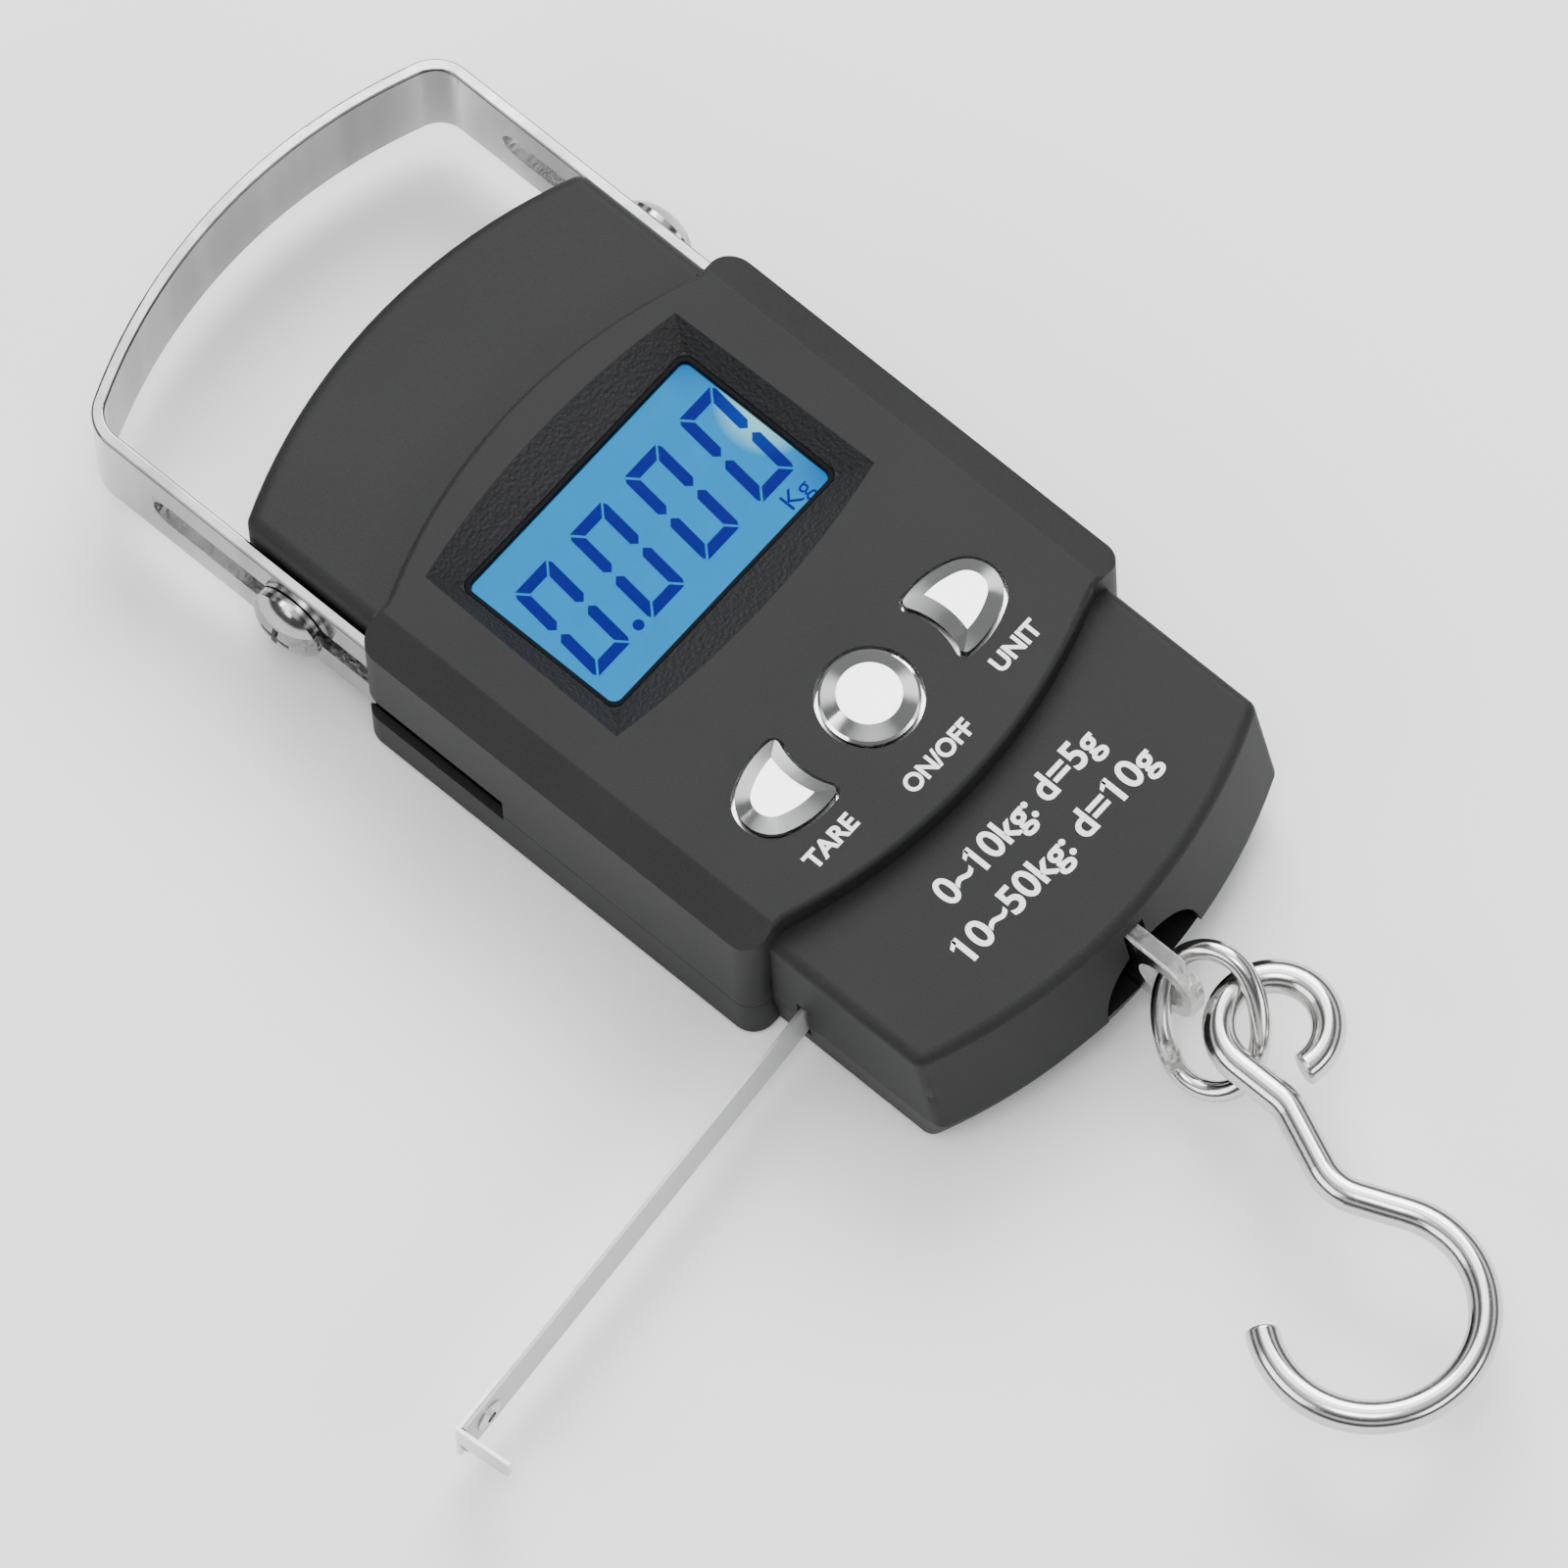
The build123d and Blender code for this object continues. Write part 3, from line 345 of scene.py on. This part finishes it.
def clear_lens():
    """Clear window with a black printed border."""
    f = Finish("clear_lens", IOR=1.46, Specular_IOR_Level=0.03)
    wide = abs(f.x).above(LENS_STRAIGHT_X)
    tall = abs(f.y - LENS_MID_Y).above(LENS_STRAIGHT_Y)
    border = ((wide ** 2.0 + tall ** 2.0) ** 0.5).over(LENS_CORNER_R - 0.04, LENS_CORNER_R + 0.04)
    haze = f.noise(0.4, 4.0) * 0.015
    dust = f.noise(3.2, 6.0, 0.75).over(0.7, 0.78) * 0.05
    base = f.blend(border, colour(0.02, 0.03, 0.05), colour(0.004, 0.004, 0.005))
    see = 0.03 + haze + dust + border
    return f.feed(Base_Color=base, Alpha=see.clamp(), Roughness=0.05 + haze * 2.0 + border * 0.1)


def flat_paint(name, tone, rough=0.5, metallic=0.0):
    """Plain painted or moulded surface of one tone, slightly cloudy, with fine grain."""
    f = Finish(name, Metallic=metallic)
    slow = f.noise(0.25, 3.0)
    fine = f.noise(7.0, 4.0, 0.6)
    lighter = colour(*[min(1, part * 1.2 + 0.01) for part in tone])
    base = f.blend(fine.over(0.55, 0.75) * 0.25, f.mottled(slow, tone, 0.84), lighter)
    return f.feed(Base_Color=base, Roughness=rough - 0.05 + fine * 0.12, Normal=f.relief(fine, 0.01, 0.5))


def tape_enamel():
    """White enamel on the printed face, pale grey lacquer on the other, bare steel edges."""
    f = Finish("tape_enamel", Specular_IOR_Level=0.5)
    facing = f.node("ShaderNodeNewGeometry", out="Normal").axes()
    edge = abs(facing[2]) > 0.5
    printed = facing[1] > 0.0
    wear = f.noise(0.8, 6.0, 0.7, place=f.stretched(0.4, 1.0, 1.0))
    fine = f.noise(8.0, 3.0, place=f.stretched(0.3, 1.0, 1.0))
    base = f.blend(printed, colour(0.47, 0.48, 0.47), colour(0.86, 0.88, 0.88))
    base = f.blend(wear.over(0.6, 0.75) * 0.3, base, colour(0.36, 0.36, 0.35))
    base = f.blend(edge, base, colour(0.3, 0.3, 0.29))
    rough = 0.3 + wear * 0.15 + fine * 0.05
    bare = edge * 0.9 + (1.0 - printed) * 0.25
    normal = f.relief(fine + wear * 0.4, 0.012, 0.5)
    return f.feed(Base_Color=base, Roughness=rough, Metallic=bare, Normal=normal)


def board_green():
    """Lacquered green circuit board with tracks and a faint weave."""
    f = Finish("board_green", Specular_IOR_Level=0.5, Coat_Weight=0.4)
    tracks = {"Vector": f.place, "Scale": 0.32, "Mortar Size": 0.03}
    track = f.node("ShaderNodeTexBrick", {"offset": 0.5}, tracks, "Fac")
    weave = f.noise(2.0, 4.0)
    base = f.blend(track * 0.6, colour(0.012, 0.14, 0.05), colour(0.03, 0.26, 0.1))
    base = f.blend(weave * 0.3, base, colour(0.01, 0.09, 0.03))
    normal = f.relief(track + weave * 0.3, 0.02, 0.5)
    return f.feed(Base_Color=base, Roughness=0.3 + weave * 0.2, Normal=normal)


def print_ink(name, tone):
    """Screen-printed ink, a little thin in places."""
    f = Finish(name)
    thin = f.noise(3.5, 5.0, 0.65)
    base = f.mottled(thin.over(0.58, 0.75) * 0.3, tone, 0.75)
    return f.feed(Base_Color=base, Roughness=0.5 + thin * 0.1, Normal=f.relief(thin, 0.006, 0.4))


def segment_ink():
    """Dark blue liquid-crystal segments, lit from behind."""
    f = Finish("segment_ink", Specular_IOR_Level=0.03, Emission_Strength=1.0)
    spot = lamp_spot(f)
    wash = f.noise(0.6, 3.0)
    lit = f.blend(wash, colour(0.0, 0.003, 0.24), colour(0.0, 0.006, 0.30))
    lit = f.blend(spot * 0.8, lit, colour(0.0, 0.05, 0.5))
    return f.feed(Emission_Color=lit, Base_Color=f.scaled(lit, 0.1), Roughness=0.25 + wash * 0.1)


finishes = {
    "case_plastic": case_plastic(),
    "clear_window": clear_lens(),
    "display_glass": lit_glass(),
    "light_guide": flat_paint("light_guide", (0.75, 0.8, 0.85), 0.35),
    "contact_rubber": flat_paint("contact_rubber", (0.03, 0.03, 0.03), 0.7),
    "board_laminate": board_green(),
    "chip_plastic": flat_paint("chip_plastic", (0.015, 0.015, 0.015), 0.6),
    "button_chrome": plated("button_chrome", (0.90, 0.90, 0.895), 0.05, 0.12, 0.01),
    "beam_aluminium": plated("beam_aluminium", (0.74, 0.75, 0.76), 0.3, 0.42, 0.02, (3, 0.3, 3)),
    "gauge_coat": flat_paint("gauge_coat", (0.75, 0.75, 0.72), 0.6),
    "wire_sheath": flat_paint("wire_sheath", (0.5, 0.03, 0.02), 0.5),
    "strap_chrome": plated("strap_chrome", (0.42, 0.42, 0.415), 0.08, 0.18, 0.012, (1, 0.15, 1), True),
    "tab_steel": cut_steel(),
    "hook_steel": drawn_wire("hook_steel"),
    "tape_paint": tape_enamel(),
    "spool_plastic": flat_paint("spool_plastic", (0.7, 0.7, 0.66), 0.5),
    "spring_steel": plated("spring_steel", (0.5, 0.51, 0.53), 0.22, 0.35, 0.01),
    "zinc_steel": plated("zinc_steel", (0.58, 0.58, 0.57), 0.16, 0.32, 0.014),
    "battery_jacket": flat_paint("battery_jacket", (0.06, 0.065, 0.08), 0.35, metallic=0.5),
}
slots = {entry["node"]: entry["material_slot"] for entry in frame["record"]["subparts"]}
for name, node in nodes.items():
    node.data.materials.clear()
    node.data.materials.append(finishes[slots[name]])
nodes["link_ring"].data.materials[0] = drawn_wire("link_steel", weld_at=LINK_WELD)


# ---------------------------------------------------------------- small pieces
def place_piece(name, data, body, material):
    """Puts a finished mesh in the scene as a piece on its body."""
    piece = bpy.data.objects.new(name, data)
    bpy.context.scene.collection.objects.link(piece)
    data.materials.clear()
    data.materials.append(material)
    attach(piece, body)


def mesh_data(name, make):
    """Mesh made by a function that fills a bmesh, in millimetres."""
    shape = bmesh.new()
    make(shape)
    bmesh.ops.scale(shape, vec=(MM, MM, MM), verts=shape.verts)
    bmesh.ops.recalc_face_normals(shape, faces=shape.faces)
    data = bpy.data.meshes.new(name)
    shape.to_mesh(data)
    shape.free()
    return data


def add_slab(shape, outline, low, high, at=Matrix.Identity(4)):
    """Prism from a list of (x, y) corners between two heights."""
    bottom = [shape.verts.new(at @ Vector((x, y, low))) for x, y in outline]
    top = [shape.verts.new(at @ Vector((x, y, high))) for x, y in outline]
    shape.faces.new(list(reversed(bottom)))
    shape.faces.new(top)
    for i in range(len(outline)):
        j = (i + 1) % len(outline)
        shape.faces.new((bottom[i], bottom[j], top[j], top[i]))


# ---------------------------------------------------------------- printed words
CAPITAL_HEIGHT = 0.73
FLAG_OUTLINE = [(0.0, 0.715), (-0.2, 0.60), (-0.2, 0.49), (0.0, 0.585)]


def letter_mesh(words, bold):
    """Flat letters at unit size, as mesh data with its lowest and highest x."""
    curve = bpy.data.curves.new("letters", "FONT")
    curve.body = words
    curve.size = 1.0
    curve.extrude = 0.001
    curve.offset = bold
    sign = bpy.data.objects.new("letters", curve)
    bpy.context.scene.collection.objects.link(sign)
    bpy.context.view_layer.update()
    data = bpy.data.meshes.new_from_object(sign.evaluated_get(bpy.context.evaluated_depsgraph_get()))
    bpy.data.objects.remove(sign)
    across = [v.co.x for v in data.vertices]
    return data, min(across), max(across)


def add_flags(data, words, bold):
    """Short slanted flag at the top left of every figure one."""
    shape = bmesh.new()
    shape.from_mesh(data)
    for i, letter in enumerate(words):
        if letter == "1":
            edge = letter_mesh(words[:i + 1], bold)[2] - 0.085
            add_slab(shape, [(edge + x, y) for x, y in FLAG_OUTLINE], -0.001, 0.001)
    shape.to_mesh(data)
    shape.free()


def lettering(words, span, baseline, height, z, bold, flags=False):
    """Flat words stretched to fill the span from left to right, in millimetres."""
    data, low, high = letter_mesh(words, bold / height)
    if flags:
        add_flags(data, words, bold / height)
        low = min(v.co.x for v in data.vertices)
    left, right = span
    scale_x = (right - left) / (high - low)
    scale_y = height / CAPITAL_HEIGHT
    data.transform(Matrix.Translation((-low, 0, 0)))
    data.transform(Matrix.Diagonal((scale_x * MM, scale_y * MM, scale_y * MM, 1)))
    data.transform(Matrix.Translation((left * MM, baseline * MM, z * MM)))
    return data


PRINT_LIFT = 0.02
LOWER_FACE_Z = 24.0
SMALL_CAPITALS = 2.35
LARGE_CAPITALS = 3.8
white_ink = print_ink("white_ink", (0.86, 0.86, 0.85))
for name, words, span, baseline in [
        ("unit_word", "UNIT", (12.6, 20.1), -30.35),
        ("tare_word", "TARE", (-21.0, -12.9), -30.25),
        ("power_word", "ON/OFF", (-6.0, 5.2), -32.7)]:
    letters = lettering(words, span, baseline, SMALL_CAPITALS, cover_high.z + PRINT_LIFT, 0.075)
    place_piece(name, letters, "case", white_ink)
for name, words, span, baseline in [
        ("range_low_words", "0~10kg: d=5g", (-12.8, 14.8), -44.4),
        ("range_high_words", "10~50kg: d=10g", (-17.0, 17.5), -50.95)]:
    letters = lettering(words, span, baseline, LARGE_CAPITALS, LOWER_FACE_Z + PRINT_LIFT, 0.083, flags=True)
    place_piece(name, letters, "case", white_ink)

# ---------------------------------------------------------------- display figures
SEG_W = 6.35
SEG_H = 14.75
SEG_T = 1.5
SEG_GAP = 0.16
SEG_LEAN = 0.108
FIGURE_PITCH = 9.88
FIRST_FIGURE_X = -18.2
FIGURE_BASE_Y = 6.75
POINT_X = -9.79
POINT_Y = 7.55
POINT_R = 0.72
INK_LOW = 0.004
INK_HIGH = 0.02
segments = segment_ink()
ink_z = box_mm("lcd_panel")[1].z


def digit_zero(shape, left, base):
    """Six-segment nought with slanted sides and clipped joints."""
    lean = Matrix(((1, SEG_LEAN, 0, left), (0, 1, 0, base), (0, 0, 1, ink_z), (0, 0, 0, 1)))
    w, h, t, g = SEG_W, SEG_H, SEG_T, SEG_GAP
    mid = h / 2
    parts = []
    parts.append([(0.25 + g, h), (0.62, h), (w - 0.62, h), (w - 0.25 - g, h - 0.05), (w - t - g, h - t),
                  (t + g, h - t)])
    parts.append([(0, h - 0.75), (0.25, h - 0.3), (t, h - t - g - 0.1), (t, mid + 1.1), (t / 2, mid + 0.36),
                  (0, mid + 1.1)])
    for outline in list(parts):
        parts.append([(x, h - y) for x, y in reversed(outline)])
    for outline in (parts[1], parts[3]):
        parts.append([(w - x, y) for x, y in reversed(outline)])
    for outline in parts:
        add_slab(shape, outline, INK_LOW, INK_HIGH, lean)


def display_figures(shape):
    """Four noughts and the round decimal point."""
    for i in range(4):
        digit_zero(shape, FIRST_FIGURE_X + FIGURE_PITCH * i, FIGURE_BASE_Y)
    angles = [math.tau * k / 28 for k in range(28)]
    point = [(POINT_X + POINT_R * math.cos(a), POINT_Y + POINT_R * math.sin(a)) for a in angles]
    add_slab(shape, point, ink_z + INK_LOW, ink_z + INK_HIGH)


figures = mesh_data("display_figures", display_figures)
place_piece("display_figures", figures, "case", segments)
unit = lettering("Kg", (13.35, 17.15), 3.3, 2.5, ink_z + (INK_LOW + INK_HIGH) / 2, 0.0)
place_piece("display_unit", unit, "case", segments)

# ---------------------------------------------------------------- tape scale on the printed face
BLADE_SHOWN = 66.3
BLADE_FACE = 0.235
tape_low, tape_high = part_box("tape_blade")
pull = next(j for j in frame["joints"] if j["name"] == "tape_pull")
outwards = Vector(pull["axis"])
slot_mouth = Vector((-30.6, -36.0, 0)) * MM
blade_end = slot_mouth + outwards * BLADE_SHOWN * MM
blade_mid = Vector((0, 0, (tape_low.z + tape_high.z) / 2))
upward = Vector((0, 0, 1))
face_normal = outwards.cross(upward)
face_at = Matrix.Translation(blade_end + face_normal * BLADE_FACE * MM + blade_mid)
face_turn = Matrix((outwards, upward, face_normal)).transposed().to_4x4()
on_face = face_at @ face_turn @ Matrix.Rotation(math.pi, 4, "Z")

INCH = 25.4
SCALE_HALF_WIDTH = 3.55
LONGEST_TICK = 3.5
TICK_INK = 0.012
FIRST_SIXTEENTH = 6
LAST_SIXTEENTH = 41
FIRST_MILLIMETRE = 9
LAST_MILLIMETRE = 65
LINE_START = 8.4
LINE_END = 65.5
LINE_WIDTH = 0.12
INCH_TICK_WIDTH = 0.13


def inch_tick(k):
    """Length of the k-th sixteenth's tick."""
    by_sixteenth = {0: LONGEST_TICK, 8: 2.2, 4: 1.7, 12: 1.7}
    return by_sixteenth.get(k % 16, 1.35 if k % 2 == 0 else 0.95)


def millimetre_tick(k):
    """Length of the k-th millimetre's tick."""
    if k % 10 == 0:
        return LONGEST_TICK
    return 1.5 if k % 5 == 0 else 0.95


def ticks(shape):
    """Sixteenths of an inch along one edge, millimetres along the other, and the middle line."""
    def bar(x0, x1, y0, y1):
        add_slab(shape, [(x0, y0), (x1, y0), (x1, y1), (x0, y1)], 0.0, TICK_INK)

    def tick(x, width, y0, y1):
        bar(x - width / 2, x + width / 2, y0, y1)

    for k in range(FIRST_SIXTEENTH, LAST_SIXTEENTH + 1):
        tick(k * INCH / 16, INCH_TICK_WIDTH, SCALE_HALF_WIDTH - inch_tick(k), SCALE_HALF_WIDTH)
    for k in range(FIRST_MILLIMETRE, LAST_MILLIMETRE + 1):
        tick(k, LINE_WIDTH, -SCALE_HALF_WIDTH, -SCALE_HALF_WIDTH + millimetre_tick(k))
    bar(LINE_START, LINE_END, -LINE_WIDTH / 2, LINE_WIDTH / 2)


def on_tape(name, data, ink):
    """Puts a flat mesh on the blade's printed face."""
    data.transform(on_face)
    place_piece(name, data, "tape", ink)


def tape_letters(name, words, span, baseline, height, bold, ink):
    """Numerals or words on the blade's printed face."""
    on_tape(name, lettering(words, span, baseline, height, TICK_INK / 2, bold), ink)


INCH_BASELINE = 0.45
METRE_BASELINE = -2.1
black_ink = print_ink("black_ink", (0.02, 0.02, 0.022))
red_ink = print_ink("red_ink", (0.7, 0.03, 0.03))
on_tape("tape_marks", mesh_data("tape_marks", ticks), black_ink)
for inch in (1, 2):
    x = inch * INCH
    tape_letters(f"inch_{inch}", str(inch), (x - 2.2, x - 0.5), INCH_BASELINE, 2.1, 0.05, black_ink)
for cm in range(1, 7):
    x = cm * 10
    tape_letters(f"centimetre_{cm}", str(cm), (x - 1.7, x - 0.45), METRE_BASELINE, 1.7, 0.03, black_ink)
tape_letters("foot_word", "3 FT", (30.6, 36.2), INCH_BASELINE, 1.7, 0.03, red_ink)
tape_letters("metre_word", "1m", (33.0, 36.4), METRE_BASELINE, 1.6, 0.03, red_ink)


# ---------------------------------------------------------------- floor and light
FLOOR_REACH = 6.0
FLOOR_Z = -0.0004
STAGE_MIDDLE = Vector((0, -0.02, 0.01))


def backdrop():
    """Pale matt paper with a faint fibre."""
    f = Finish("backdrop_paper", Roughness=0.9)
    cloud = f.noise(0.004, 2.0)
    fibre = f.noise(0.9, 4.0)
    base = f.blend(cloud, colour(0.90, 0.90, 0.90), colour(0.94, 0.94, 0.94))
    return f.feed(Base_Color=base, Normal=f.relief(fibre, 0.02, 0.3))


floor_data = bpy.data.meshes.new("floor")
corners = [(x * FLOOR_REACH, y * FLOOR_REACH, FLOOR_Z) for x, y in [(-1, -1), (1, -1), (1, 1), (-1, 1)]]
floor_data.from_pydata(corners, [], [(0, 1, 2, 3)])
floor = bpy.data.objects.new("floor", floor_data)
bpy.context.scene.collection.objects.link(floor)
floor_data.materials.append(backdrop())


def softbox(name, place, wide, tall, watts):
    """Rectangular lamp aimed at the middle of the stage."""
    lamp = bpy.data.lights.new(name, "AREA")
    lamp.shape = "RECTANGLE"
    lamp.size = wide
    lamp.size_y = tall
    lamp.energy = watts
    stand = bpy.data.objects.new(name, lamp)
    stand.location = place
    stand.rotation_euler = (STAGE_MIDDLE - Vector(place)).to_track_quat("-Z", "Y").to_euler()
    bpy.context.scene.collection.objects.link(stand)


softbox("key", (0.55, 0.35, 0.75), 0.7, 0.5, 12.0)
softbox("fill", (-0.75, 0.25, 0.55), 0.6, 0.5, 4.0)
softbox("rim", (0.1, -0.9, 0.45), 0.8, 0.3, 3.0)
softbox("top", (-0.25, -0.2, 1.1), 0.35, 0.35, 4.0)


def studio_walls():
    """Dim room with a pale band along the walls, a pale ceiling and a bright panel in it."""
    world = bpy.data.worlds.new("studio")
    world.use_nodes = True
    tree = world.node_tree
    heading = add_node(tree, "ShaderNodeTexCoord", out="Generated")
    side, _, up = heading.axes()
    panel_side = {0: heading, 1: (0.276, 0.276, 0.921)}
    toward_panel = add_node(tree, "ShaderNodeVectorMath", {"operation": "DOT_PRODUCT"}, panel_side, "Value")
    panel = toward_panel.over(0.935, 0.965)
    ceiling = up.over(0.80, 0.90)
    wall = up.over(0.34, 0.42) * (1.0 - up.over(0.54, 0.62))
    glow = (0.2 + wall * 1.2 + ceiling * 1.1 + panel * 3.4) * (1.0 + side * 0.2)
    background = tree.nodes["Background"]
    background.inputs["Color"].default_value = (0.97, 0.98, 1.0, 1)
    tree.links.new(glow.socket, background.inputs["Strength"])
    return world


bpy.context.scene.world = studio_walls()
